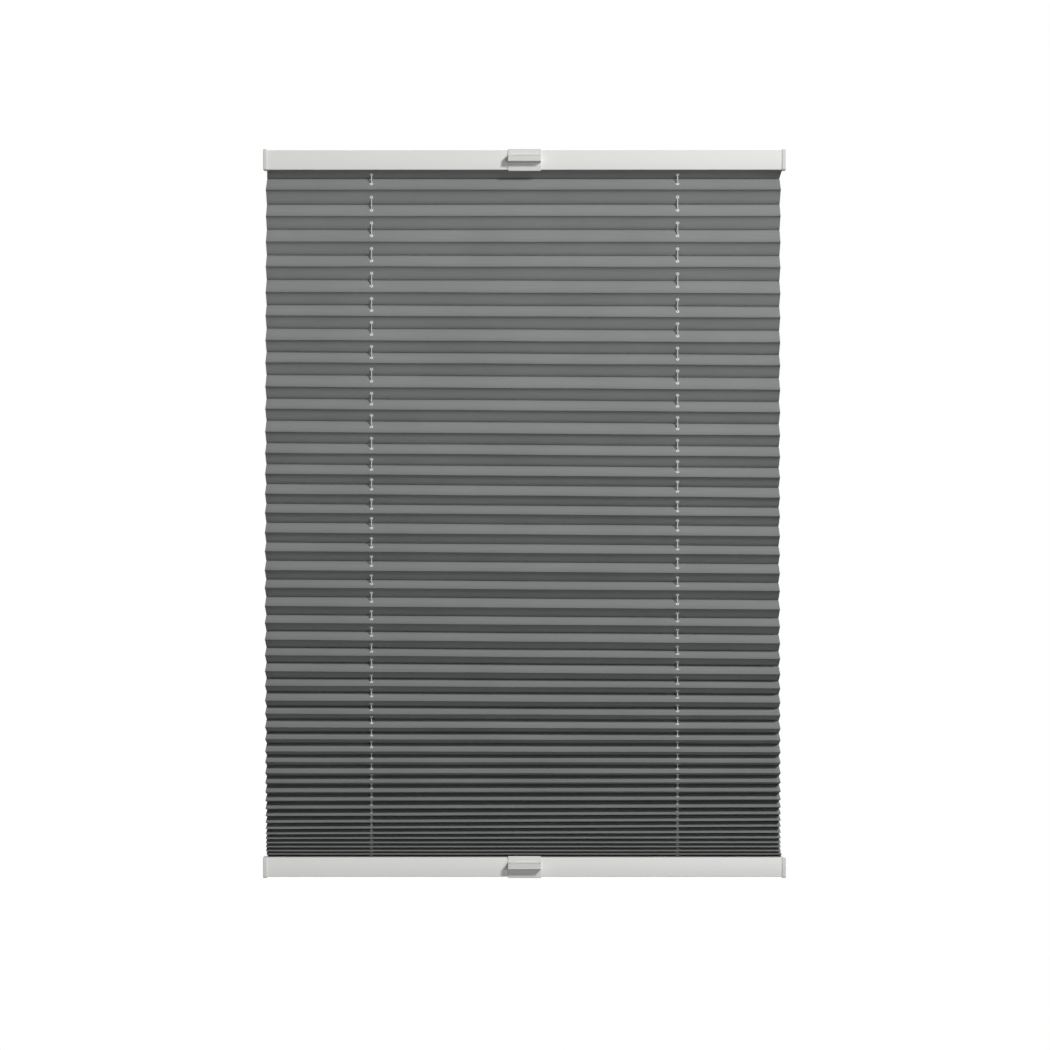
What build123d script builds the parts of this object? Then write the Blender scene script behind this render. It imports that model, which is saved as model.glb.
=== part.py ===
from build123d import *
import os
from math import sqrt

# Pleated blind: a pleated cloth hung between two aluminium rails, with clip-on grips, end caps,
# guide cords with eyelets, and the springs that keep the cords tight inside the top rail.
# Millimetres. +X runs along the rails, -Y faces the room and +Z is up.
# The origin is the centre of the top rail's flat back.

os.makedirs("parts", exist_ok=True)

# Whole blind
blind_width = 600.0  # over the end caps
drop = 789.0  # from the top rail's underside to the bottom rail's top
cord_spacing = 352.0  # between the two cords

# Clearances
slip_gap = 0.15  # a piece pushed into or over another that it stays on
slide_gap = 0.3  # pieces that move on each other
bond_gap = 0.1  # film of glue on the cloth's flaps
cut_over = 1.0  # how far a cutter runs past the face that it opens

# Rails: a channel with a gently curved front and a mouth towards the cloth
rail_height = 22.5
rail_depth = 23.0
rail_wall = 1.2
rail_bulge = 0.8  # how far the front's middle stands out past its edges
rail_front_round = 1.0
rail_back_round = 0.5
mouth_width = 13.0
snap_groove_width = 1.0
snap_groove_depth = 0.5
snap_groove_setback = 1.6  # behind the front's edge

# Cloth strips: a tee that closes the mouth
strip_flange = 1.6
strip_lip = 2.5  # how far the flange lies on each side of the mouth

# End caps
cap_flange = 4.0
cap_rim = 1.2  # how far the flange stands out past the rail, apart from the back and the cloth's side
cap_corner_round = 1.6
cap_edge_round = 0.7
plug_length = 14.0
plug_wall = 1.4

# Grips: a skin that snaps round the rail's front, with a ledge across it
grip_width = 37.5
grip_skin = 1.0
grip_corner_round = 0.8
ledge_reach = 12.0  # in front of the rail
ledge_rise = 5.2  # of the ledge's flat top above the rail's middle
ledge_root = 8.3  # ledge's height where it leaves the skin
ledge_nose = 7.3  # and at its front
ledge_top_round = 0.5
ledge_nose_round = 0.9
ledge_root_round = 0.6
ledge_line = 0.8  # width and depth of the line across the ledge's front
ledge_line_drop = 0.9  # of that line below the ledge's top

# Cloth: one strip folded into pleats that open towards the top
pleat_count = 45
pleat_face = 20.0  # flat width from one fold to the next
cloth_thickness = 0.3
flap_depth = 14.0  # end of the cloth that is glued to a strip
bottom_pitch_share = 0.094  # last pleat's pitch as a share of the second pleat's
pitch_curve_share = 0.93  # below 1 the pitch falls slowly at first
uneven_share = 0.01  # every other pleat opens this much more
first_pitch_share = 0.625  # first pleat, partly held by the rail
last_half_share = 0.8  # from the last front fold to the bottom strip
front_fold_share = 0.48  # how far down between two back folds the front fold hangs

# Cords and eyelets
cord_radius = 0.7
cord_bend = 5.0
cord_run_drop = 0.5  # of the cord's run in the top rail, below the rail's middle
punch_radius = 1.2  # hole that the cord passes in cloth and strips
eyelet_radius = 2.2
eyelet_bore = 1.0
eyelet_thickness = 0.4
ring_sides = 10  # flats that the many small eyelets and punched holes are drawn with

# Cord guides, clamps, springs and anchor in the top rail
block_width = 14.0
guide_height = 11.0
guide_outside = 5.0  # guide's reach from the cord towards the rail's end
guide_inside = 13.0  # and towards the rail's middle
clamp_length = 14.0
clamp_width = 9.0
clamp_bore_depth = 9.0
anchor_length = 40.0
anchor_height = 13.0
spring_length = 36.0
spring_radius = 2.6  # to the middle of the wire
spring_wire = 0.4
wire_sides = 6  # flats that the coiled wire is drawn with
spring_pitch = 4.0
spigot_length = 6.0

# Cord bushes in the bottom rail and the stops that they rest on
bush_length = 14.0
bush_spigot_radius = 3.6
stop_radius = 2.2
stop_pocket_depth = 8.0

# Worked out from these
rail_length = blind_width - 2 * cap_flange
rail_half = rail_height / 2
edge_y = rail_bulge - rail_depth
middle_y = -rail_depth / 2
bottom_z = -(rail_height + drop)
cord_x = cord_spacing / 2
closed_face = rail_half - rail_wall  # from a rail's middle to its closed wall
strip_face = closed_face - strip_flange  # and to its cloth strip
strip_top_z = -strip_face
run_z = -cord_run_drop
clamp_height = strip_face + run_z + clamp_width / 2
spigot_radius = spring_radius - spring_wire - slip_gap
cord_end_z = bottom_z - rail_half


def front_outline(grow, back_y, centre_z):
    """Corner points of the rail's outline grown all round, and the points of its front arc."""
    high = centre_z + rail_half + grow
    low = centre_z - rail_half - grow
    corners = [(edge_y - grow, high), (back_y, high), (back_y, low), (edge_y - grow, low)]
    arc = [corners[-1], (-rail_depth - grow, centre_z), corners[0]]
    return corners, arc


def sheet_outline(points, thickness):
    """Both sides of a folded sheet as one loop: mitred inside each fold, squared off outside it."""
    half = thickness / 2
    path = [Vector(*point) for point in points]
    runs = [(end - start).normalized() for start, end in zip(path, path[1:])]
    sides = [Vector(-run.Y, run.X) * half for run in runs]
    left = [path[0] + sides[0]]
    right = [path[0] - sides[0]]
    for index in range(1, len(path) - 1):
        point = path[index]
        before = sides[index - 1]
        after = sides[index]
        mitre = (before + after) * (half**2 / (half**2 + before.dot(after)))
        if runs[index - 1].cross(runs[index]).Z > 0:
            left.append(point + mitre)
            right.extend([point - before, point - after])
        else:
            left.extend([point + before, point + after])
            right.append(point - mitre)
    left.append(path[-1] + sides[-1])
    right.append(path[-1] - sides[-1])
    return left + right[::-1]


# Rails, with the pieces that both of them have. The mouth looks down at the top, up at the bottom.
for place, centre_z, mouth in (("top", 0, -1), ("bottom", bottom_z, 1)):
    with BuildPart() as rail:
        with BuildSketch(Plane.YZ.offset(-rail_length / 2)) as section:
            corners, arc = front_outline(0, 0, centre_z)
            with BuildLine():
                Polyline(*corners)
                ThreePointArc(*arc)
            make_face()
            fillet(section.vertices().group_by(Axis.X)[0], rail_front_round)
            fillet(section.vertices().group_by(Axis.X)[-1], rail_back_round)
            offset(amount=-rail_wall, mode=Mode.SUBTRACT)
            with Locations((middle_y, centre_z + mouth * rail_half)):
                Rectangle(mouth_width, 2 * (rail_wall + slip_gap), mode=Mode.SUBTRACT)
            groove_y = edge_y + snap_groove_setback + snap_groove_width / 2
            with Locations((groove_y, centre_z + rail_half), (groove_y, centre_z - rail_half)):
                Rectangle(snap_groove_width, 2 * snap_groove_depth, mode=Mode.SUBTRACT)
        extrude(amount=rail_length)
        if place == "bottom":
            with Locations((-cord_x, middle_y, cord_end_z), (cord_x, middle_y, cord_end_z)):
                Cylinder(bush_spigot_radius + slip_gap, 2 * (rail_wall + cut_over), mode=Mode.SUBTRACT)
    rail.part.label = f"{place}_rail"
    export_step(rail.part, f"parts/{place}_rail.step")

    with BuildPart() as strip:
        with BuildSketch(Plane.YZ.offset(-rail_length / 2)):
            with Locations((middle_y, centre_z + mouth * (rail_half - rail_wall / 2))):
                Rectangle(mouth_width - 2 * slip_gap, rail_wall)
            with Locations((middle_y, centre_z + mouth * (closed_face - strip_flange / 2))):
                Rectangle(mouth_width + 2 * strip_lip, strip_flange)
        extrude(amount=rail_length)
        with Locations((-cord_x, middle_y, centre_z), (cord_x, middle_y, centre_z)):
            Cylinder(punch_radius, 2 * rail_height, mode=Mode.SUBTRACT)
    strip.part.label = f"{place}_cloth_strip"
    export_step(strip.part, f"parts/{place}_cloth_strip.step")

    for side, sign in (("left", -1), ("right", 1)):
        with BuildPart() as cap:
            with BuildSketch(Plane.YZ.offset(sign * rail_length / 2)) as flange:
                corners, arc = front_outline(cap_rim, 0, centre_z)
                with BuildLine():
                    Polyline(*corners)
                    ThreePointArc(*arc)
                make_face()
                with Locations((middle_y, centre_z + mouth * (rail_half + cap_rim))):
                    Rectangle(2 * rail_depth, 2 * cap_rim, mode=Mode.SUBTRACT)
                fillet(flange.vertices().sort_by(Axis.X)[:2], cap_corner_round)
            extrude(amount=sign * cap_flange)
            fillet(cap.faces().sort_by(Axis.X)[-1 if sign > 0 else 0].edges(), cap_edge_round)
            plug_height = closed_face + strip_face - 2 * slip_gap
            plug_depth = -edge_y - 2 * (rail_wall + slip_gap)
            plug_z = centre_z - mouth * strip_flange / 2
            with BuildSketch(Plane.YZ.offset(sign * rail_length / 2)):
                with Locations((edge_y / 2, plug_z)):
                    Rectangle(plug_depth, plug_height)
                    Rectangle(plug_depth - 2 * plug_wall, plug_height - 2 * plug_wall, mode=Mode.SUBTRACT)
            extrude(amount=-sign * plug_length)
        cap.part.label = f"{place}_{side}_end_cap"
        export_step(cap.part, f"parts/{place}_{side}_end_cap.step")

    with BuildPart() as grip:
        with BuildSketch(Plane.YZ.offset(-grip_width / 2)) as shell:
            hook_y = groove_y + snap_groove_width / 2 - slip_gap
            skin_y = -rail_depth - slide_gap
            corners, arc = front_outline(slide_gap + grip_skin, hook_y, centre_z)
            with BuildLine():
                Polyline(*corners)
                ThreePointArc(*arc)
            make_face()
            fillet(shell.vertices().group_by(Axis.X)[0], grip_corner_round)
            corners, arc = front_outline(slide_gap, hook_y + cut_over, centre_z)
            with BuildLine():
                Polyline(*corners)
                ThreePointArc(*arc)
            make_face(mode=Mode.SUBTRACT)
            tooth_width = snap_groove_width - 2 * slip_gap
            tooth_height = snap_groove_depth - slip_gap + slide_gap + grip_skin
            tooth_z = rail_half + slide_gap + grip_skin - tooth_height / 2
            with Locations((groove_y, centre_z + tooth_z), (groove_y, centre_z - tooth_z)):
                Rectangle(tooth_width, tooth_height)
            nose_y = -rail_depth - ledge_reach
            ledge_z = centre_z + ledge_rise
            with BuildLine():
                Polyline(
                    (skin_y, ledge_z),
                    (nose_y, ledge_z),
                    (nose_y, ledge_z - ledge_nose),
                    (skin_y, ledge_z - ledge_root),
                    close=True,
                )
            make_face()
            fillet(shell.vertices().group_by(Axis.X)[0].sort_by(Axis.Y)[0], ledge_nose_round)
            fillet(shell.vertices().group_by(Axis.X)[0].sort_by(Axis.Y)[-1], ledge_top_round)
            with Locations((nose_y, ledge_z - ledge_line_drop)):
                Rectangle(2 * ledge_line, ledge_line, mode=Mode.SUBTRACT)
        extrude(amount=grip_width)
        roots = grip.edges().filter_by(Axis.X).filter_by_position(
            Axis.Y, skin_y - grip_skin - rail_bulge, skin_y - grip_skin + rail_bulge
        )
        roots = roots.filter_by_position(Axis.Z, centre_z - ledge_root, centre_z + ledge_root)
        fillet(roots, ledge_root_round)
    grip.part.label = f"{place}_grip"
    export_step(grip.part, f"parts/{place}_grip.step")

# Cloth: each pitch is a share of the drop, largest near the top
pitch_shares = []
for index in range(pleat_count):
    opening_share = (1 - index / (pleat_count - 1)) ** pitch_curve_share
    pitch_share = bottom_pitch_share + (1 - bottom_pitch_share) * opening_share
    pitch_shares.append(pitch_share * (1 + uneven_share * (-1) ** index))
pitch_shares[0] *= first_pitch_share
last_share = pitch_shares[-1] * last_half_share
cloth_top_z = -rail_half - bond_gap - cloth_thickness / 2
cloth_bottom_z = bottom_z + rail_half + bond_gap + cloth_thickness / 2
share_length = (cloth_top_z - cloth_bottom_z) / (sum(pitch_shares) + last_share)

flap_front_y = middle_y - flap_depth / 2
flap_back_y = middle_y + flap_depth / 2
folds = [(flap_back_y, cloth_top_z), (flap_front_y, cloth_top_z)]
front_z = cloth_top_z
for pitch_share in pitch_shares:
    pitch = pitch_share * share_length
    half_depth = sqrt(pleat_face**2 - (pitch / 2) ** 2) / 2
    folds.append((middle_y + half_depth, front_z - pitch * (1 - front_fold_share)))
    front_z -= pitch
    folds.append((middle_y - half_depth, front_z))
folds.extend([(flap_back_y, cloth_bottom_z), (flap_front_y, cloth_bottom_z)])

cloth_width = rail_length
with BuildPart() as cloth:
    with BuildSketch(Plane.YZ.offset(-cloth_width / 2)):
        with BuildLine():
            Polyline(*sheet_outline(folds, cloth_thickness), close=True)
        make_face()
    extrude(amount=cloth_width)
    with BuildSketch(Plane.XY.offset(-rail_half)):
        with Locations((-cord_x, middle_y), (cord_x, middle_y)):
            RegularPolygon(punch_radius, ring_sides)
    extrude(amount=-drop, mode=Mode.SUBTRACT)
cloth.part.label = "pleated_cloth"
export_step(cloth.part, "parts/pleated_cloth.step")

# Spring anchor in the middle of the top rail, with a spigot for each spring
with BuildPart() as anchor:
    with Locations((0, middle_y, strip_top_z)):
        Box(anchor_length, block_width, anchor_height, align=(Align.CENTER, Align.CENTER, Align.MIN))
    with Locations((0, middle_y, run_z)):
        Cylinder(spigot_radius, anchor_length + 2 * spigot_length, rotation=(0, 90, 0))
anchor.part.label = "spring_anchor"
export_step(anchor.part, "parts/spring_anchor.step")

# Both cords with what each of them runs through
for side, sign in (("left", -1), ("right", 1)):
    spring_start_x = anchor_length / 2
    clamp_x = spring_start_x + spring_length
    cord_start_x = clamp_x + clamp_length - clamp_bore_depth
    route = [
        (sign * cord_start_x, middle_y, run_z),
        (sign * cord_x, middle_y, run_z),
        (sign * cord_x, middle_y, cord_end_z),
    ]

    with BuildPart() as cord:
        with BuildLine() as path:
            FilletPolyline(*route, radius=cord_bend)
        with BuildSketch(Plane(path.line @ 0, z_dir=path.line % 0)):
            Circle(cord_radius)
        sweep()
    cord.part.label = f"{side}_cord"
    export_step(cord.part, f"parts/{side}_cord.step")

    with BuildPart() as guide:
        with Locations((sign * (cord_x + (guide_outside - guide_inside) / 2), middle_y, strip_top_z)):
            Box(
                guide_outside + guide_inside,
                block_width,
                guide_height,
                align=(Align.CENTER, Align.CENTER, Align.MIN),
            )
        with BuildLine() as path:
            FilletPolyline(*route, radius=cord_bend)
        with BuildSketch(Plane(path.line @ 0, z_dir=path.line % 0)):
            Circle(cord_radius + slip_gap)
        sweep(mode=Mode.SUBTRACT)
    guide.part.label = f"{side}_cord_guide"
    export_step(guide.part, f"parts/{side}_cord_guide.step")

    with BuildPart() as clamp:
        with Locations((sign * (clamp_x + clamp_length / 2), middle_y, strip_top_z)):
            Box(clamp_length, clamp_width, clamp_height, align=(Align.CENTER, Align.CENTER, Align.MIN))
        with BuildSketch(Plane.YZ.offset(sign * clamp_x)):
            with Locations((middle_y, run_z)):
                Circle(spigot_radius)
        extrude(amount=-sign * spigot_length)
        with BuildSketch(Plane.YZ.offset(sign * (clamp_x + clamp_length))):
            with Locations((middle_y, run_z)):
                Circle(cord_radius + slip_gap)
        extrude(amount=-sign * clamp_bore_depth, mode=Mode.SUBTRACT)
    clamp.part.label = f"{side}_cord_clamp"
    export_step(clamp.part, f"parts/{side}_cord_clamp.step")

    with BuildPart() as spring:
        with BuildLine() as coil:
            Helix(
                spring_pitch,
                spring_length - 2 * spring_wire,
                spring_radius,
                center=(sign * (spring_start_x + spring_wire), middle_y, run_z),
                direction=(sign, 0, 0),
            )
        with BuildSketch(Plane(coil.line @ 0, z_dir=coil.line % 0)):
            RegularPolygon(spring_wire, wire_sides)
        sweep(is_frenet=True)
    spring.part.label = f"{side}_tension_spring"
    export_step(spring.part, f"parts/{side}_tension_spring.step")

    with BuildPart() as eyelets:
        ring_planes = []
        for (start_y, start_z), (end_y, end_z) in zip(folds[1:-2], folds[2:-1]):
            run = Vector(0, end_y - start_y, end_z - start_z)
            normal = Vector(0, run.Z, -run.Y).normalized()
            on_face_z = start_z + run.Z * (middle_y - start_y) / run.Y
            ring_z = on_face_z + (cloth_thickness + eyelet_thickness) / 2 / normal.Z
            ring_planes.append(Plane((sign * cord_x, middle_y, ring_z), x_dir=(1, 0, 0), z_dir=normal))
        with BuildSketch(*ring_planes):
            RegularPolygon(eyelet_radius, ring_sides)
        extrude(amount=eyelet_thickness / 2, both=True)
        with BuildSketch(Plane.XY.offset(-rail_half)):
            with Locations((sign * cord_x, middle_y)):
                RegularPolygon(eyelet_bore, ring_sides)
        extrude(amount=-drop, mode=Mode.SUBTRACT)
    eyelets.part.label = f"{side}_eyelets"
    export_step(eyelets.part, f"parts/{side}_eyelets.step")

    with BuildPart() as bush:
        with Locations((sign * cord_x, middle_y, bottom_z - closed_face)):
            Box(
                bush_length,
                block_width,
                closed_face + strip_face,
                align=(Align.CENTER, Align.CENTER, Align.MIN),
            )
        with Locations((sign * cord_x, middle_y, cord_end_z)):
            Cylinder(
                bush_spigot_radius,
                rail_wall + cut_over,
                align=(Align.CENTER, Align.CENTER, Align.MIN),
            )
            Cylinder(cord_radius + slide_gap, 2 * rail_height, mode=Mode.SUBTRACT)
            Cylinder(stop_radius + slide_gap, 2 * stop_pocket_depth, mode=Mode.SUBTRACT)
    bush.part.label = f"{side}_cord_bush"
    export_step(bush.part, f"parts/{side}_cord_bush.step")

    with BuildPart() as stop:
        with Locations((sign * cord_x, middle_y, cord_end_z)):
            Cylinder(
                stop_radius,
                stop_pocket_depth - bond_gap,
                align=(Align.CENTER, Align.CENTER, Align.MIN),
            )
            Cylinder(cord_radius + slip_gap, 2 * stop_pocket_depth, mode=Mode.SUBTRACT)
    stop.part.label = f"{side}_cord_stop"
    export_step(stop.part, f"parts/{side}_cord_stop.step")
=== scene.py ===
"""Pleated blind: finishes, cloth, eyelets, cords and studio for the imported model."""

import logging
import math
import random
from dataclasses import dataclass, field
from enum import Enum
from typing import Any

import bmesh
import bpy
import numpy as np
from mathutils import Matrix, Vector


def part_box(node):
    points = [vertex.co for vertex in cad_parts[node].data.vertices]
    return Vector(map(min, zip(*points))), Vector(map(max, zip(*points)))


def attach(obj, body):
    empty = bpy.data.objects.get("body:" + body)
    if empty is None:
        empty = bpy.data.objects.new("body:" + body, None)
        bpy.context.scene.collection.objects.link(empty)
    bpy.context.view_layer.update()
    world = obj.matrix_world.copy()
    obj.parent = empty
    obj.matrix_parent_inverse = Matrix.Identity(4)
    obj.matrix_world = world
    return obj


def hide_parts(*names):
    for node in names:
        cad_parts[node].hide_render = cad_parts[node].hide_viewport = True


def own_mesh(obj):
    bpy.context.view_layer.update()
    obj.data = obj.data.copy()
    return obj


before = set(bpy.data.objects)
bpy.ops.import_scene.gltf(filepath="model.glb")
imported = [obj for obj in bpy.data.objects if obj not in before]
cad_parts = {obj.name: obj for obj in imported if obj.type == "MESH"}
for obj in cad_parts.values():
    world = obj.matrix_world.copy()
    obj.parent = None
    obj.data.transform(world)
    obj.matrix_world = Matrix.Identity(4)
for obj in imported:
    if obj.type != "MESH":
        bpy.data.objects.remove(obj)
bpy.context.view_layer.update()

LOG = logging.getLogger("pleated_blind")
MM = 0.001


class Slot(Enum):
    """Names of the record's material slots for the added pieces."""

    CLOTH = "grey_cloth"
    EYELET = "eyelet_plastic"
    CORD = "braided_cord"


class Body(Enum):
    """Bodies that the added pieces ride on."""

    TOP_RAIL = "top_rail"


class Side(Enum):
    """The two cords, by the sign of their X."""

    LEFT = -1
    RIGHT = 1

    @property
    def word(self) -> str:
        """The side's name as it stands in the nodes' names."""
        return self.name.lower()


def linear(code: str) -> tuple[float, float, float, float]:
    """Turn an sRGB hex colour into a linear one.

    Args:
        code: colour as #rrggbb.

    Returns:
        Red, green, blue and alpha, linear.
    """
    parts = [int(code[at : at + 2], 16) / 255 for at in (1, 3, 5)]
    red, green, blue = (p / 12.92 if p <= 0.04045 else ((p + 0.055) / 1.055) ** 2.4 for p in parts)
    return red, green, blue, 1.0


def add(
    tree: bpy.types.NodeTree, kind: str, inputs: dict[Any, Any] | None = None, **settings: Any
) -> Any:
    """Add one node with its settings and links.

    Args:
        tree: node tree that gets the node.
        kind: node's type.
        inputs: by input name or number, a plain value or the output that feeds it.
        settings: the node's own properties.

    Returns:
        The node.
    """
    node = tree.nodes.new(kind)
    for name, value in settings.items():
        setattr(node, name, value)
    for name, value in (inputs or {}).items():
        if isinstance(value, bpy.types.NodeSocket):
            tree.links.new(value, node.inputs[name])
        else:
            node.inputs[name].default_value = value
    return node


def empty_material(name: str) -> tuple[bpy.types.Material, bpy.types.NodeTree]:
    """Make a material with nothing but its output.

    Args:
        name: what the material is.

    Returns:
        The material and its node tree.
    """
    material = bpy.data.materials.new(name)
    material.use_nodes = True
    material.node_tree.nodes.clear()
    return material, material.node_tree


def close_material(tree: bpy.types.NodeTree, shader: dict[str, Any]) -> None:
    """Add the surface shader and the output.

    Args:
        tree: the material's node tree.
        shader: inputs of the surface shader, values or outputs.
    """
    surface = add(tree, "ShaderNodeBsdfPrincipled", shader)
    add(tree, "ShaderNodeOutputMaterial", {"Surface": surface.outputs[0]})


@dataclass(frozen=True)
class PowderCoatedAluminium:
    """White polyester powder baked on extruded aluminium."""

    # An even satin white: a broad soft highlight, broken up a little by the powder's orange peel.
    light: str = "#f4f4f1"
    shade: str = "#efefec"
    roughness: tuple[float, float] = (0.40, 0.50)
    ior: float = 1.5
    lacquer: float = 1.0
    lacquer_roughness: float = 0.42
    cloud: float = 140 * MM  # width of faint patches of tone
    cloud_detail: float = 3.0
    peel: float = 1.6 * MM  # real peel is about 0.6 mm, drawn coarser so that it shows
    peel_detail: float = 1.0
    peel_height: float = 0.01 * MM

    def material(self) -> bpy.types.Material:
        """Make the finish.

        Returns:
            The material.
        """
        material, tree = empty_material("powder-coated aluminium")
        place = add(tree, "ShaderNodeTexCoord").outputs["Object"]
        cloud = add(
            tree,
            "ShaderNodeTexNoise",
            {"Vector": place, "Scale": 1 / self.cloud, "Detail": self.cloud_detail},
        )
        tone = add(
            tree,
            "ShaderNodeMix",
            {0: cloud.outputs[0], 6: linear(self.shade), 7: linear(self.light)},
            data_type="RGBA",
        )
        rough = add(
            tree,
            "ShaderNodeMapRange",
            {"Value": cloud.outputs[0], "To Min": self.roughness[1], "To Max": self.roughness[0]},
        )
        peel = add(
            tree,
            "ShaderNodeTexNoise",
            {"Vector": place, "Scale": 1 / self.peel, "Detail": self.peel_detail},
        )
        bump = add(
            tree,
            "ShaderNodeBump",
            {"Height": peel.outputs[0], "Distance": self.peel_height, "Strength": 1.0},
        )
        close_material(
            tree,
            {
                "Base Color": tone.outputs[2],
                "Roughness": rough.outputs[0],
                "IOR": self.ior,
                "Coat Weight": self.lacquer,
                "Coat Roughness": self.lacquer_roughness,
                "Normal": bump.outputs[0],
            },
        )
        return material


@dataclass(frozen=True)
class MouldedPlastic:
    """White ABS as it leaves a finely eroded mould."""

    # A little duller than the rails, with the mould's fine grain in the highlight.
    light: str = "#ecece9"
    shade: str = "#e5e5e1"
    roughness: tuple[float, float] = (0.42, 0.56)
    ior: float = 1.53
    cloud: float = 30 * MM  # width of faint patches of tone
    cloud_detail: float = 4.0
    grain: float = 0.9 * MM  # real grain is about 0.2 mm, drawn coarser so that it shows
    grain_detail: float = 2.0
    grain_height: float = 0.012 * MM

    def material(self) -> bpy.types.Material:
        """Make the finish.

        Returns:
            The material.
        """
        material, tree = empty_material("moulded ABS")
        place = add(tree, "ShaderNodeTexCoord").outputs["Object"]
        cloud = add(
            tree,
            "ShaderNodeTexNoise",
            {"Vector": place, "Scale": 1 / self.cloud, "Detail": self.cloud_detail},
        )
        tone = add(
            tree,
            "ShaderNodeMix",
            {0: cloud.outputs[0], 6: linear(self.shade), 7: linear(self.light)},
            data_type="RGBA",
        )
        grain = add(
            tree,
            "ShaderNodeTexNoise",
            {"Vector": place, "Scale": 1 / self.grain, "Detail": self.grain_detail},
        )
        rough = add(
            tree,
            "ShaderNodeMapRange",
            {"Value": grain.outputs[0], "To Min": self.roughness[0], "To Max": self.roughness[1]},
        )
        bump = add(
            tree,
            "ShaderNodeBump",
            {"Height": grain.outputs[0], "Distance": self.grain_height, "Strength": 1.0},
        )
        close_material(
            tree,
            {
                "Base Color": tone.outputs[2],
                "Roughness": rough.outputs[0],
                "IOR": self.ior,
                "Normal": bump.outputs[0],
            },
        )
        return material


@dataclass(frozen=True)
class WovenPolyester:
    """Grey polyester cloth, plain woven, starched and pressed into pleats."""

    # Matt, with a hair of sheen, a fine weave and slightly thicker threads that run along the pleats.
    light: str = "#a1a4a2"
    shade: str = "#969997"
    roughness: float = 0.88
    ior: float = 1.45
    specular: float = 0.02
    sheen: float = 0.01
    sheen_roughness: float = 0.5
    thread: float = 0.9 * MM  # real threads are 0.3 mm apart, drawn three to one so that they show
    thread_height: float = 0.05 * MM
    slub_length: float = 45 * MM
    slub_width: float = 1.3 * MM  # real slubs are about 0.5 mm thick, drawn coarser so that they show
    slub_detail: float = 2.0
    cloud: float = 90 * MM  # width of faint patches of tone
    cloud_detail: float = 2.0
    tone_reach: tuple[float, float] = (0.6, 1.4)  # slub plus patch, from the darkest to the lightest

    def material(self) -> bpy.types.Material:
        """Make the finish, on the cloth's flat map, which is in metres.

        Returns:
            The material.
        """
        material, tree = empty_material("woven polyester")
        place = add(tree, "ShaderNodeUVMap", uv_map=PleatedCloth.flat_map).outputs[0]
        # A wave texture of scale 1 repeats every pi/10.
        wave_scale = math.pi / 10 / self.thread
        warp = add(
            tree,
            "ShaderNodeTexWave",
            {"Vector": place, "Scale": wave_scale, "Distortion": 0.0},
            bands_direction="X",
        )
        weft = add(
            tree,
            "ShaderNodeTexWave",
            {"Vector": place, "Scale": wave_scale, "Distortion": 0.0},
            bands_direction="Y",
        )
        over = add(tree, "ShaderNodeTexChecker", {"Vector": place, "Scale": 1 / self.thread})
        weave = add(
            tree,
            "ShaderNodeMix",
            {0: over.outputs[1], 2: warp.outputs[1], 3: weft.outputs[1]},
            data_type="FLOAT",
        )
        stretch = add(
            tree,
            "ShaderNodeMapping",
            {"Vector": place, "Scale": (1 / self.slub_length, 1 / self.slub_width, 1.0)},
        )
        slub = add(
            tree,
            "ShaderNodeTexNoise",
            {"Vector": stretch.outputs[0], "Scale": 1.0, "Detail": self.slub_detail},
        )
        cloud = add(
            tree,
            "ShaderNodeTexNoise",
            {"Vector": place, "Scale": 1 / self.cloud, "Detail": self.cloud_detail},
        )
        mixed = add(
            tree,
            "ShaderNodeMath",
            {0: slub.outputs[0], 1: cloud.outputs[0]},
            operation="ADD",
        )
        tone_share = add(
            tree,
            "ShaderNodeMapRange",
            {
                "Value": mixed.outputs[0],
                "From Min": self.tone_reach[0],
                "From Max": self.tone_reach[1],
            },
        )
        tone = add(
            tree,
            "ShaderNodeMix",
            {0: tone_share.outputs[0], 6: linear(self.shade), 7: linear(self.light)},
            data_type="RGBA",
        )
        bump = add(
            tree,
            "ShaderNodeBump",
            {"Height": weave.outputs[0], "Distance": self.thread_height, "Strength": 1.0},
        )
        close_material(
            tree,
            {
                "Base Color": tone.outputs[2],
                "Roughness": self.roughness,
                "IOR": self.ior,
                "Specular IOR Level": self.specular,
                "Sheen Weight": self.sheen,
                "Sheen Roughness": self.sheen_roughness,
                "Normal": bump.outputs[0],
            },
        )
        return material


@dataclass(frozen=True)
class MouldedNylon:
    """White nylon rings, moulded smooth."""

    # The brightest thing on the cloth: clean white with a small sharp highlight.
    light: str = "#f6f6f3"
    shade: str = "#efefeb"
    roughness: float = 0.28
    ior: float = 1.53
    cloud: float = 4 * MM  # width of faint patches of tone
    cloud_detail: float = 2.0

    def material(self) -> bpy.types.Material:
        """Make the finish.

        Returns:
            The material.
        """
        material, tree = empty_material("moulded nylon")
        place = add(tree, "ShaderNodeTexCoord").outputs["Object"]
        cloud = add(
            tree,
            "ShaderNodeTexNoise",
            {"Vector": place, "Scale": 1 / self.cloud, "Detail": self.cloud_detail},
        )
        tone = add(
            tree,
            "ShaderNodeMix",
            {0: cloud.outputs[0], 6: linear(self.shade), 7: linear(self.light)},
            data_type="RGBA",
        )
        close_material(
            tree,
            {"Base Color": tone.outputs[2], "Roughness": self.roughness, "IOR": self.ior},
        )
        return material


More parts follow.
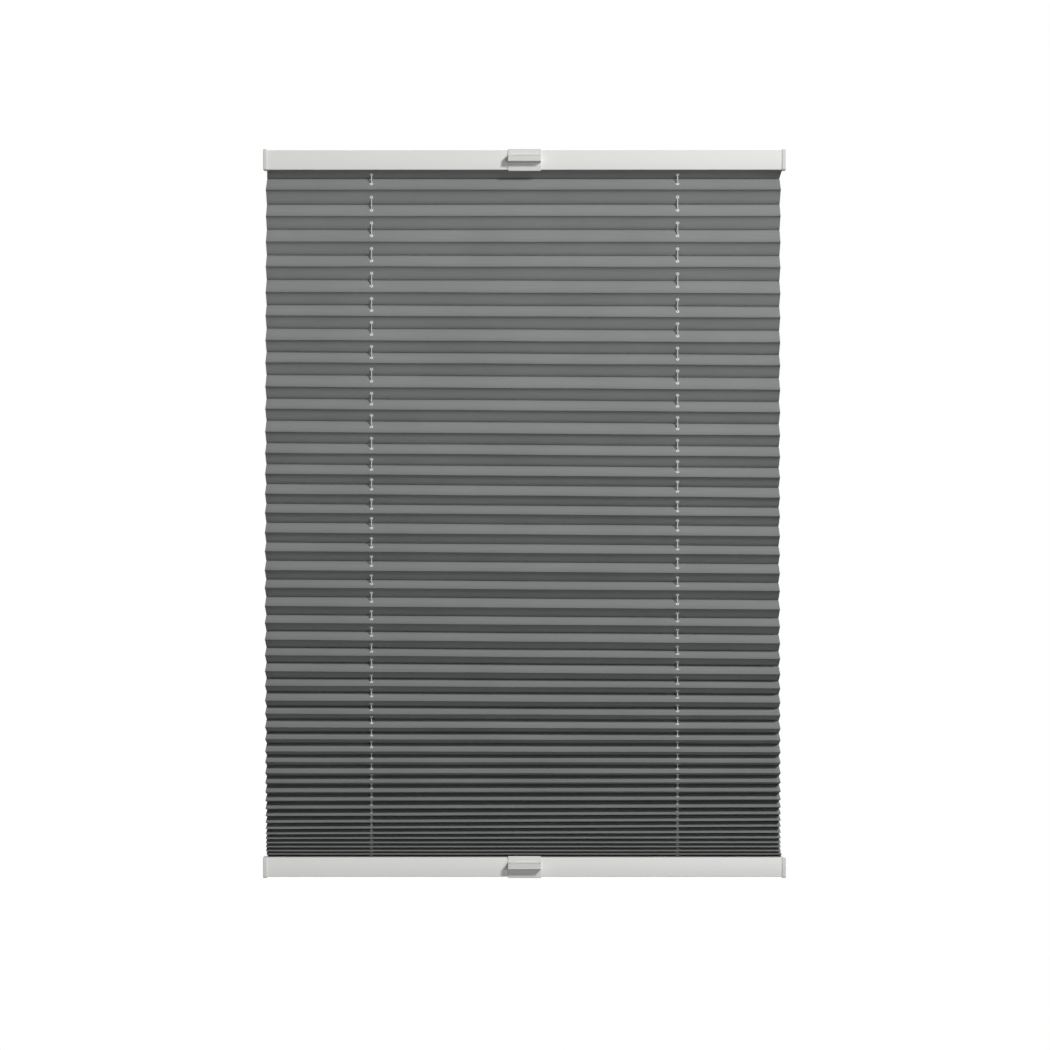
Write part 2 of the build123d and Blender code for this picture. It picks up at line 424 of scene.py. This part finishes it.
@dataclass(frozen=True)
class BraidedPolyester:
    """Thin white polyester cord, braided from fine yarns."""

    # Dull off-white, with darker patches at random, about a yarn across.
    light: str = "#e9e9e4"
    shade: str = "#c4c4be"
    roughness: float = 0.7
    ior: float = 1.45
    sheen: float = 0.1
    yarn: float = 0.5 * MM
    yarn_detail: float = 2.0

    def material(self) -> bpy.types.Material:
        """Make the finish.

        Returns:
            The material.
        """
        material, tree = empty_material("braided polyester")
        place = add(tree, "ShaderNodeTexCoord").outputs["Object"]
        yarn = add(
            tree,
            "ShaderNodeTexNoise",
            {"Vector": place, "Scale": 1 / self.yarn, "Detail": self.yarn_detail},
        )
        tone = add(
            tree,
            "ShaderNodeMix",
            {0: yarn.outputs[0], 6: linear(self.shade), 7: linear(self.light)},
            data_type="RGBA",
        )
        close_material(
            tree,
            {
                "Base Color": tone.outputs[2],
                "Roughness": self.roughness,
                "IOR": self.ior,
                "Sheen Weight": self.sheen,
            },
        )
        return material


@dataclass(frozen=True)
class DrawnSpringSteel:
    """Bright spring wire, drawn through a die."""

    # Grey metal with a soft shine that drawing marks break up.
    light: str = "#c9c9cb"
    shade: str = "#aeaeb2"
    roughness: tuple[float, float] = (0.25, 0.42)
    mark: float = 0.6 * MM
    mark_detail: float = 3.0

    def material(self) -> bpy.types.Material:
        """Make the finish.

        Returns:
            The material.
        """
        material, tree = empty_material("drawn spring steel")
        place = add(tree, "ShaderNodeTexCoord").outputs["Object"]
        mark = add(
            tree,
            "ShaderNodeTexNoise",
            {"Vector": place, "Scale": 1 / self.mark, "Detail": self.mark_detail},
        )
        tone = add(
            tree,
            "ShaderNodeMix",
            {0: mark.outputs[0], 6: linear(self.shade), 7: linear(self.light)},
            data_type="RGBA",
        )
        rough = add(
            tree,
            "ShaderNodeMapRange",
            {"Value": mark.outputs[0], "To Min": self.roughness[0], "To Max": self.roughness[1]},
        )
        close_material(
            tree,
            {"Base Color": tone.outputs[2], "Metallic": 1.0, "Roughness": rough.outputs[0]},
        )
        return material


def dress_nodes(names: tuple[str, ...], material: bpy.types.Material) -> None:
    """Give CAD nodes their finish.

    Args:
        names: the nodes.
        material: their finish.
    """
    for name in names:
        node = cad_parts[name]
        if not node.material_slots:
            node.data.materials.append(None)
        for slot in node.material_slots:
            slot.material = material
        LOG.info("%s: %s", name, material.name)


def new_piece(
    name: str, mesh: bpy.types.Mesh, material: bpy.types.Material
) -> bpy.types.Object:
    """Put a finished mesh into the scene as a piece on the top rail.

    Args:
        name: the piece's name.
        mesh: its mesh, in the frame's metres.
        material: its finish.

    Returns:
        The piece.
    """
    piece = bpy.data.objects.new(name, mesh)
    bpy.context.scene.collection.objects.link(piece)
    mesh.materials.clear()
    mesh.materials.append(material)
    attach(piece, Body.TOP_RAIL.value)
    return piece


def shade_by_angle(mesh: bpy.types.Mesh, angle: float) -> None:
    """Shade a mesh smooth, apart from its sharp edges.

    Args:
        mesh: the mesh.
        angle: edges that bend by more than this stay sharp, in radians.
    """
    work = bmesh.new()
    work.from_mesh(mesh)
    for face in work.faces:
        face.smooth = True
    for edge in work.edges:
        edge.smooth = edge.calc_face_angle(math.pi) < angle
    work.to_mesh(mesh)
    work.free()


def run_lengths(points: np.ndarray) -> np.ndarray:
    """Measure along a line of points.

    Args:
        points: the line's points, one in each row.

    Returns:
        For each point, the line's length up to it.
    """
    steps = np.linalg.norm(np.diff(points, axis=0), axis=1)
    return np.concatenate([[0.0], np.cumsum(steps)])


@dataclass(frozen=True)
class AlongDrop:
    """A small length that changes down the hung cloth."""

    shares: tuple[float, ...]  # of the drop, from 0 at the top to 1
    millimetres: tuple[float, ...]

    def at(self, share: np.ndarray | float) -> np.ndarray | float:
        """The length at a share of the drop, in metres."""
        return np.interp(share, self.shares, self.millimetres) * MM


@dataclass
class PleatedCloth:
    """The cloth: one strip, folded to and fro, open under the top rail and nearly closed at the bottom."""

    # Folding, as in the part's source
    pleat_count: int = 45
    pleat_face: float = 20 * MM
    thickness: float = 0.3 * MM
    flap_depth: float = 14 * MM
    bottom_pitch_share: float = 0.094
    pitch_curve_share: float = 0.93
    uneven_share: float = 0.01
    first_pitch_share: float = 0.625
    last_half_share: float = 0.8
    front_fold_share: float = 0.48
    held_folds: int = 2  # at each end, in the rails' strips

    # How the faces bend between their folds: the creases stay tighter than the faces' middles
    top_bend_share: float = 0.6
    bottom_bend_share: float = 0.1
    bend_power: float = 2.0  # only wide open pleats bend much
    face_shares: tuple[float, ...] = (0.0, 0.06, 0.17, 0.30, 0.44, 0.56, 0.70, 0.83, 0.94)
    hole_share: float = 0.44  # one of the shares above, where the cord's hole begins

    # How the hung cloth strays from even folding: how much higher a fold hangs
    hang: AlongDrop = AlongDrop(
        (0.0, 0.0128, 0.026, 0.06, 0.10, 0.22, 0.28, 0.35, 0.43, 0.50,
         0.61, 0.66, 0.73, 0.81, 0.88, 0.918, 0.958, 0.987, 1.0),
        (0.0, 1.7, -2.3, -2.5, -0.8, -0.2, 0.6, -0.4, -1.0, 1.3,
         0.9, -0.7, -1.7, -2.3, -1.6, -0.2, 1.6, 2.1, 0.0),
    )
    # The closed pleats lie on each other and their front folds sag: how much higher the back folds are
    droop: AlongDrop = AlongDrop(
        (0.0, 0.03, 0.3, 0.62, 0.75, 0.83, 0.90, 0.95, 1.0),
        (0.0, -0.1, 0.0, 0.1, 0.8, 1.5, 1.8, 2.2, 2.4),
    )
    # Every other pleat was pressed wider: how much lower its front fold is
    uneven: AlongDrop = AlongDrop(
        (0.0, 0.03, 0.40, 0.47, 0.80, 0.87, 0.91, 1.0),
        (0.0, 0.3, 0.3, -0.36, -0.34, -0.28, -0.1, 0.0),
    )
    # Room for the lower grip's hook under the folded pack: how far the lowest front folds stand back
    setback: AlongDrop = AlongDrop((0.0, 0.90, 0.976, 1.0), (0.0, 0.0, 2.3, 2.3))
    # How the folds lean: how much lower the right end is
    lean: AlongDrop = AlongDrop(
        (0.0, 0.05, 0.14, 0.28, 0.385, 0.5, 0.62, 0.70, 0.76, 0.855, 0.96, 0.98, 1.0),
        (0.0, -0.3, 1.0, 3.4, 4.3, 4.5, 3.9, 4.5, 2.7, 0.7, -2.8, -0.3, 0.0),
    )
    # The cut edges: how far they stand to the left, and how far they draw in at the back folds
    stray: AlongDrop = AlongDrop(
        (0.0, 0.01, 0.25, 0.60, 0.90, 0.99, 1.0),
        (0.0, 1.3, 1.9, 2.5, 1.7, 1.3, 0.0),
    )
    edge_draw: float = 1.3 * MM
    edge_power: float = 6.0  # the cloth's middle stays where it is

    # Unevenness of each fold along its length
    seed: int = 45
    waver: float = 0.15 * MM
    waver_pitch_share: float = 0.01
    waver_spread: tuple[float, float] = (0.3, 1.0)  # share of it that a fold gets
    waver_length: tuple[float, float] = (160 * MM, 420 * MM)

    column_count: int = 40
    hole_half: float = 1.2 * MM
    hole_clear: float = 2.4 * MM  # least from a hole's edge to the next column
    sharp_angle: float = math.radians(35)
    flat_map: str = "flat cloth"

    low: Vector = field(init=False)
    high: Vector = field(init=False)
    fold_y: np.ndarray = field(init=False)
    fold_z: np.ndarray = field(init=False)
    bends: np.ndarray = field(init=False)
    wavers: list[tuple[float, float, float]] = field(init=False)
    cord_x: float = field(init=False)
    flat_length: float = field(init=False, default=0.0)

    def __post_init__(self) -> None:
        """Work out the folds from the node's box."""
        self.low, self.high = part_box("pleated_cloth")
        cord_low, cord_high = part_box("right_eyelets")
        self.cord_x = (cord_low.x + cord_high.x) / 2
        rail_low, rail_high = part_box("top_rail")
        middle_y = (rail_low.y + rail_high.y) / 2
        top_z = self.high.z - self.thickness / 2
        bottom_z = self.low.z + self.thickness / 2

        shares = []
        for index in range(self.pleat_count):
            opening = (1 - index / (self.pleat_count - 1)) ** self.pitch_curve_share
            share = self.bottom_pitch_share + (1 - self.bottom_pitch_share) * opening
            shares.append(share * (1 + self.uneven_share * (-1) ** index))
        shares[0] *= self.first_pitch_share
        share_length = (top_z - bottom_z) / (sum(shares) + shares[-1] * self.last_half_share)

        flap_front = middle_y - self.flap_depth / 2
        flap_back = middle_y + self.flap_depth / 2
        folds = [(flap_back, top_z), (flap_front, top_z)]
        front_z = top_z
        face_pitches = [0.0]
        for share in shares:
            pitch = share * share_length
            half_depth = math.sqrt(self.pleat_face**2 - (pitch / 2) ** 2) / 2
            folds.append((middle_y + half_depth, front_z - pitch * (1 - self.front_fold_share)))
            front_z -= pitch
            folds.append((middle_y - half_depth, front_z))
            face_pitches.extend([pitch, pitch])
        folds.extend([(flap_back, bottom_z), (flap_front, bottom_z)])
        face_pitches.extend([face_pitches[-1], 0.0])
        self.fold_y = np.array([y for y, _ in folds])
        self.fold_z = np.array([z for _, z in folds])
        opening_shares = np.array(face_pitches) / max(face_pitches)
        bend_range = self.top_bend_share - self.bottom_bend_share
        self.bends = self.bottom_bend_share + bend_range * opening_shares**self.bend_power
        self.bends[[0, -1]] = 0.0

        draw = random.Random(self.seed)
        self.wavers = []
        for index in range(len(folds)):
            size = 0.0
            if self.hangs_free(index):
                size = min(self.waver, self.waver_pitch_share * face_pitches[index])
                size *= draw.uniform(*self.waver_spread)
            self.wavers.append((size, draw.uniform(*self.waver_length), draw.uniform(0, 2 * math.pi)))

    def drop_share(self, z: np.ndarray | float) -> np.ndarray | float:
        """How far down the drop a height is, from 0 to 1."""
        return (self.fold_z[0] - z) / (self.fold_z[0] - self.fold_z[-1])

    def hangs_free(self, index: int) -> bool:
        """Whether a fold, by its number from the top, is outside the rails' strips."""
        return self.held_folds <= index < len(self.fold_z) - self.held_folds

    def fold(self, index: int, x: np.ndarray) -> tuple[np.ndarray, np.ndarray]:
        """One fold's line.

        Args:
            index: the fold's number from the top.
            x: places along the rails.

        Returns:
            The fold's Y and Z at those places.
        """
        width = self.high.x - self.low.x
        share = self.drop_share(self.fold_z[index])
        y = self.fold_y[index]
        z = self.fold_z[index] + self.hang.at(share)
        if self.hangs_free(index):
            # A front fold and the back fold under it go one way, the next two the other way.
            pair = (index - self.held_folds - 1) // 2
            z -= self.uneven.at(share) * (-1) ** pair
            if index % 2 == 0:
                z += self.droop.at(share)
            else:
                y += self.setback.at(share)
        size, length, phase = self.wavers[index]
        waver = size * np.sin(2 * math.pi * x / length + phase)
        return np.full_like(x, y), z - self.lean.at(share) * x / width + waver

    def across(self, face: int, share: float, x: np.ndarray) -> np.ndarray:
        """Points across the cloth on one face.

        Args:
            face: the face's number from the top, which is its upper fold's.
            share: how far down the face, from 0 to 1.
            x: places along the rails.

        Returns:
            One point for each place.
        """
        upper_y, upper_z = self.fold(face, x)
        lower_y, lower_z = self.fold(face + 1, x)
        eased = share - self.bends[face] * math.sin(2 * math.pi * share) / (2 * math.pi)
        y = upper_y + (lower_y - upper_y) * share
        z = upper_z + (lower_z - upper_z) * eased
        depth_share = (y - self.fold_y.min()) / (self.fold_y.max() - self.fold_y.min())
        stray = self.stray.at(self.drop_share(z))
        near_edge = (np.abs(x) / self.high.x) ** self.edge_power
        drawn_x = x - (np.sign(x) * self.edge_draw * depth_share + stray) * near_edge
        return np.stack([drawn_x, y, z], axis=1)

    def columns(self) -> np.ndarray:
        """Place the mesh's columns, with a narrow one at each cord.

        Returns:
            The columns' edges along the rails.
        """
        even = np.linspace(self.low.x, self.high.x, self.column_count + 1)
        holes = [sign * self.cord_x + side * self.hole_half for sign in (-1, 1) for side in (-1, 1)]
        kept = [x for x in even if min(abs(x - hole) for hole in holes) > self.hole_clear]
        return np.array(sorted(kept + holes))

    def build(self, material: bpy.types.Material) -> bpy.types.Object:
        """Make the folded cloth with its thickness and the cords' holes.

        Args:
            material: the cloth's finish.

        Returns:
            The cloth.
        """
        x = self.columns()
        at_cord = np.abs(np.abs(x[:-1] + x[1:]) / 2 - self.cord_x) < self.hole_half
        rows = []
        at_hole = []
        for face in range(len(self.fold_y) - 1):
            for share in self.face_shares:
                rows.append(self.across(face, share, x))
                at_hole.append(share == self.hole_share)
        rows.append(self.across(len(self.fold_y) - 2, 1.0, x))
        grid = np.stack(rows)
        lengths = run_lengths(grid[:, len(x) // 2])
        self.flat_length = float(lengths[-1])

        count = len(x)
        faces = []
        for row in range(len(rows) - 1):
            for column in range(count - 1):
                if not (at_hole[row] and at_cord[column]):
                    first = row * count + column
                    faces.append((first, first + count, first + count + 1, first + 1))
        mesh = bpy.data.meshes.new("pleated_cloth_mesh")
        mesh.from_pydata(grid.reshape(-1, 3).tolist(), [], faces)
        flat = mesh.uv_layers.new(name=self.flat_map)
        corner_vertices = np.zeros(len(mesh.loops), int)
        mesh.loops.foreach_get("vertex_index", corner_vertices)
        flat_x = x[corner_vertices % count] - self.low.x
        flat_y = lengths[corner_vertices // count]
        flat.data.foreach_set("uv", np.stack([flat_x, flat_y], axis=1).astype(np.float32).ravel())

        sheet = bpy.data.objects.new("sheet_before_thickness", mesh)
        bpy.context.scene.collection.objects.link(sheet)
        solid = sheet.modifiers.new("thickness", "SOLIDIFY")
        solid.thickness = self.thickness
        solid.offset = 0.0
        bpy.context.view_layer.update()
        graph = bpy.context.evaluated_depsgraph_get()
        thick = bpy.data.meshes.new_from_object(sheet.evaluated_get(graph))
        bpy.data.objects.remove(sheet)
        shade_by_angle(thick, self.sharp_angle)

        cloth = new_piece("cloth", thick, material)
        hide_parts("pleated_cloth")
        self.fold_up(cloth)
        return cloth

    def fold_up(self, piece: bpy.types.Object) -> None:
        """Give a piece of the cloth a mesh of its own.

        Args:
            piece: the cloth, or eyelets on it.
        """
        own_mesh(piece)


@dataclass
class EyeletColumn:
    """The rings that one cord passes, one on the room side of each face of the cloth."""

    side: Side
    outer: float = 2.2 * MM
    bore: float = 1.0 * MM
    thickness: float = 0.5 * MM
    around: int = 16
    section: int = 8
    lift_share: float = 0.7

    def build(self, cloth: PleatedCloth, material: bpy.types.Material) -> bpy.types.Object:
        """Make the rings as one piece.

        Args:
            cloth: what carries them.
            material: their finish.

        Returns:
            The rings.
        """
        x = np.array([self.side.value * cloth.cord_x])
        rim = (self.outer + self.bore) / 2
        half_width = (self.outer - self.bore) / 2
        points = []
        faces = []
        for face in range(1, len(cloth.fold_y) - 2):
            hole = (cloth.hole_share, 0.5, 1 - cloth.hole_share)
            above, centre, below = (Vector(cloth.across(face, share, x)[0]) for share in hole)
            along = (below - above).normalized()
            out = Vector((0, along.z, -along.y))
            centre += out * (cloth.thickness / 2 + self.thickness / 2 * self.lift_share)
            start = len(points)
            for turn in range(self.around):
                angle = 2 * math.pi * turn / self.around
                spoke = Vector((math.cos(angle), 0, 0)) + along * math.sin(angle)
                for step in range(self.section):
                    tilt = 2 * math.pi * step / self.section
                    reach = rim + half_width * math.cos(tilt)
                    points.append(centre + spoke * reach + out * (self.thickness / 2 * math.sin(tilt)))
            for turn in range(self.around):
                for step in range(self.section):
                    here = start + turn * self.section
                    there = start + (turn + 1) % self.around * self.section
                    after = (step + 1) % self.section
                    faces.append((here + step, there + step, there + after, here + after))
        mesh = bpy.data.meshes.new(f"{self.side.word}_eyelet_mesh")
        mesh.from_pydata(points, [], faces)
        mesh.shade_smooth()
        rings = new_piece(f"{self.side.word}_eyelet_rings", mesh, material)
        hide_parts(f"{self.side.word}_eyelets")
        cloth.fold_up(rings)
        return rings


@dataclass
class GuideCord:
    """A guide cord: from its clamp in the top rail round the cord guide and down to its stop."""

    side: Side
    diameter: float = 1.4 * MM
    corner_diameters: float = 6.0  # from the guide's corner to the straight stretches
    route_steps: int = 200
    ring_spacing: float = 0.75 * MM
    around: int = 12
    yarns: int = 3
    braid_length: float = 5 * MM
    ridge_share: float = 0.08

    def route(self) -> list[Vector]:
        """Set out the cord from the clamp to the stop.

        Returns:
            The control points of its spline.
        """
        low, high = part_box(f"{self.side.word}_cord")
        radius = self.diameter / 2
        ends = (high.x, low.x + radius) if self.side is Side.LEFT else (low.x, high.x - radius)
        start_x, corner_x = ends
        y = (low.y + high.y) / 2
        run_z = high.z - radius
        back = self.corner_diameters * self.diameter
        return [
            Vector((start_x, y, run_z)),
            Vector((corner_x - self.side.value * back, y, run_z)),
            Vector((corner_x, y, run_z)),
            Vector((corner_x, y, run_z - back)),
            Vector((corner_x, y, low.z)),
        ]

    def line(self) -> np.ndarray:
        """Follow the spline of the route.

        Returns:
            Evenly spaced points along it.
        """
        route = self.route()
        curve = bpy.data.curves.new("route", "CURVE")
        curve.dimensions = "3D"
        spline = curve.splines.new("NURBS")
        spline.points.add(len(route) - 1)
        for point, place in zip(spline.points, route):
            point.co = (*place, 1.0)
        spline.order_u = 3
        spline.use_endpoint_u = True
        spline.resolution_u = self.route_steps
        holder = bpy.data.objects.new("route", curve)
        mesh = bpy.data.meshes.new_from_object(holder)
        points = np.array([vertex.co for vertex in mesh.vertices])
        bpy.data.objects.remove(holder)
        bpy.data.curves.remove(curve)
        bpy.data.meshes.remove(mesh)
        lengths = run_lengths(points)
        even = np.linspace(0.0, lengths[-1], int(lengths[-1] / self.ring_spacing) + 1)
        return np.stack([np.interp(even, lengths, points[:, axis]) for axis in range(3)], axis=1)

    def build(self, material: bpy.types.Material) -> bpy.types.Object:
        """Make the braided cord.

        Args:
            material: its finish.

        Returns:
            The cord.
        """
        line = self.line()
        heading = np.gradient(line, axis=0)
        heading /= np.linalg.norm(heading, axis=1)[:, None]
        side = np.array([0.0, 1.0, 0.0])
        other = np.cross(heading, side)
        places = np.arange(len(line)) * self.ring_spacing
        twist = 2 * math.pi * places / self.braid_length
        points = []
        for angle in 2 * math.pi * np.arange(self.around) / self.around:
            ridge = np.maximum(np.cos(self.yarns * angle + twist), np.cos(self.yarns * angle - twist))
            radius = self.diameter / 2 * (1 - self.ridge_share * (1 - ridge) / 2)
            points.append(line + radius[:, None] * (math.cos(angle) * side + math.sin(angle) * other))
        rings = np.stack(points, axis=1)
        faces = []
        for ring in range(len(line) - 1):
            for turn in range(self.around):
                after = (turn + 1) % self.around
                first = ring * self.around
                second = first + self.around
                faces.append((first + turn, first + after, second + after, second + turn))
        faces.append(tuple(range(self.around))[::-1])
        faces.append(tuple(range((len(line) - 1) * self.around, len(line) * self.around)))
        mesh = bpy.data.meshes.new(f"{self.side.word}_cord_mesh")
        mesh.from_pydata(rings.reshape(-1, 3).tolist(), [], faces)
        mesh.shade_smooth()
        cord = new_piece(f"{self.side.word}_guide_cord", mesh, material)
        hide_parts(f"{self.side.word}_cord")
        return cord


@dataclass(frozen=True)
class Rails:
    """The rails with their strips, caps, grips and inner pieces, which keep their CAD shape."""

    coated: tuple[str, ...] = ("top_rail", "bottom_rail")
    moulded: tuple[str, ...] = (
        "top_cloth_strip",
        "bottom_cloth_strip",
        "top_left_end_cap",
        "top_right_end_cap",
        "bottom_left_end_cap",
        "bottom_right_end_cap",
        "top_grip",
        "bottom_grip",
        "left_cord_guide",
        "right_cord_guide",
        "left_cord_clamp",
        "right_cord_clamp",
        "spring_anchor",
        "left_cord_bush",
        "right_cord_bush",
        "left_cord_stop",
        "right_cord_stop",
    )
    sprung: tuple[str, ...] = ("left_tension_spring", "right_tension_spring")

    def dress(self) -> None:
        """Give every CAD node its finish."""
        dress_nodes(self.coated, PowderCoatedAluminium().material())
        dress_nodes(self.moulded, MouldedPlastic().material())
        dress_nodes(self.sprung, DrawnSpringSteel().material())


@dataclass(frozen=True)
class Studio:
    """Camera, lamps, white surroundings and floor."""

    camera_place: tuple[float, float, float] = (0.0006, -6.0, -0.4189)
    lens: float = 178.55
    sensor: float = 36.0
    aim: tuple[float, float, float] = (0.0, 0.0, -0.41)
    key_place: tuple[float, float, float] = (2.275, -3.5, 1.75)
    key_size: float = 0.7
    key_power: float = 138.0
    fill_place: tuple[float, float, float] = (1.5, -5.0, -0.4)
    fill_size: float = 1.2
    fill_power: float = 41.0
    low_place: tuple[float, float, float] = (-1.2, -1.4, -1.7)
    low_size: float = 1.2
    low_power: float = 3.4
    back_place: tuple[float, float, float] = (1.6, 4.2, 1.4)  # for views from behind
    back_size: float = 1.6
    back_power: float = 160.0
    white: str = "#ffffff"
    ambient: float = 0.004
    floor_z: float = -1.95
    floor_half: float = 3.0
    floor_colour: str = "#f2f2f0"
    floor_bounce_colour: str = "#3a3a39"
    floor_roughness: float = 0.9
    floor_glow: float = 0.45  # keeps the floor pale where the lamps hardly reach it

    def lamp(self, name: str, place: tuple[float, float, float], size: float, power: float) -> None:
        """Add one soft lamp that looks at the blind.

        Args:
            name: the lamp's name.
            place: where it stands.
            size: the side of its square face.
            power: its watts.
        """
        light = bpy.data.lights.new(name, "AREA")
        light.shape = "SQUARE"
        light.size = size
        light.energy = power
        lamp = bpy.data.objects.new(name, light)
        lamp.location = place
        lamp.rotation_euler = (Vector(self.aim) - Vector(place)).to_track_quat("-Z", "Y").to_euler()
        bpy.context.scene.collection.objects.link(lamp)

    def seen(self, tree: bpy.types.NodeTree) -> bpy.types.NodeSocket:
        """Tell what the camera, a reflection or a clear piece sees from what only lights the blind.

        Args:
            tree: node tree of a material or the world.

        Returns:
            1 for the first, 0 for the second.
        """
        ray = add(tree, "ShaderNodeLightPath").outputs
        mirrored = add(
            tree,
            "ShaderNodeMath",
            {0: ray["Is Glossy Ray"], 1: ray["Is Transmission Ray"]},
            operation="MAXIMUM",
        )
        seen = add(
            tree,
            "ShaderNodeMath",
            {0: ray["Is Camera Ray"], 1: mirrored.outputs[0]},
            operation="MAXIMUM",
        )
        return seen.outputs[0]

    def surroundings(self) -> None:
        """Add faint light from all sides, and plain white where a look goes past the blind."""
        world = bpy.data.worlds.new("white surroundings")
        bpy.context.scene.world = world
        world.use_nodes = True
        tree = world.node_tree
        tree.nodes.clear()
        white = linear(self.white)
        soft = add(tree, "ShaderNodeBackground", {"Strength": self.ambient, "Color": white})
        plain = add(tree, "ShaderNodeBackground", {"Strength": 1.0, "Color": white})
        both = add(
            tree,
            "ShaderNodeMixShader",
            {0: self.seen(tree), 1: soft.outputs[0], 2: plain.outputs[0]},
        )
        add(tree, "ShaderNodeOutputWorld", {"Surface": both.outputs[0]})

    def floor(self) -> None:
        """Add a pale floor well below the blind, which throws little light up into the pleats."""
        half = self.floor_half
        corners = ((-half, -half), (half, -half), (half, half), (-half, half))
        mesh = bpy.data.meshes.new("floor_mesh")
        mesh.from_pydata([(x, y, self.floor_z) for x, y in corners], [], [(0, 1, 2, 3)])
        material, tree = empty_material("pale floor")
        seen = self.seen(tree)
        tone = add(
            tree,
            "ShaderNodeMix",
            {0: seen, 6: linear(self.floor_bounce_colour), 7: linear(self.floor_colour)},
            data_type="RGBA",
        )
        glow = add(tree, "ShaderNodeMath", {0: seen, 1: self.floor_glow}, operation="MULTIPLY")
        close_material(
            tree,
            {
                "Base Color": tone.outputs[2],
                "Roughness": self.floor_roughness,
                "Emission Color": linear(self.floor_colour),
                "Emission Strength": glow.outputs[0],
            },
        )
        mesh.materials.append(material)
        floor = bpy.data.objects.new("floor", mesh)
        bpy.context.scene.collection.objects.link(floor)

    def build(self) -> None:
        """Set up the camera, the lamps, the surroundings and the floor."""
        data = bpy.data.cameras.new("camera")
        data.lens = self.lens
        data.sensor_width = self.sensor
        camera = bpy.data.objects.new("camera", data)
        camera.location = self.camera_place
        camera.rotation_euler = (math.pi / 2, 0, 0)  # level
        bpy.context.scene.collection.objects.link(camera)
        bpy.context.scene.camera = camera
        self.lamp("key", self.key_place, self.key_size, self.key_power)
        self.lamp("fill", self.fill_place, self.fill_size, self.fill_power)
        self.lamp("low fill", self.low_place, self.low_size, self.low_power)
        self.lamp("back", self.back_place, self.back_size, self.back_power)
        self.surroundings()
        self.floor()
        bpy.context.scene.view_settings.view_transform = "Standard"


def main() -> None:
    """Build the blind and its studio."""
    logging.basicConfig(level=logging.INFO, format="%(name)s: %(message)s")
    Studio().build()
    Rails().dress()
    cord_finish = BraidedPolyester().material()
    cords = [GuideCord(side).build(cord_finish) for side in Side]
    cloth = PleatedCloth()
    sheet = cloth.build(WovenPolyester().material())
    LOG.info("flat length of the cloth: %.3f m", cloth.flat_length)
    ring_finish = MouldedNylon().material()
    rings = [EyeletColumn(side).build(cloth, ring_finish) for side in Side]
    for piece in (*cords, sheet, *rings):
        LOG.info("%s: %d faces", piece.name, len(piece.data.polygons))


if __name__ == "__main__":
    main()
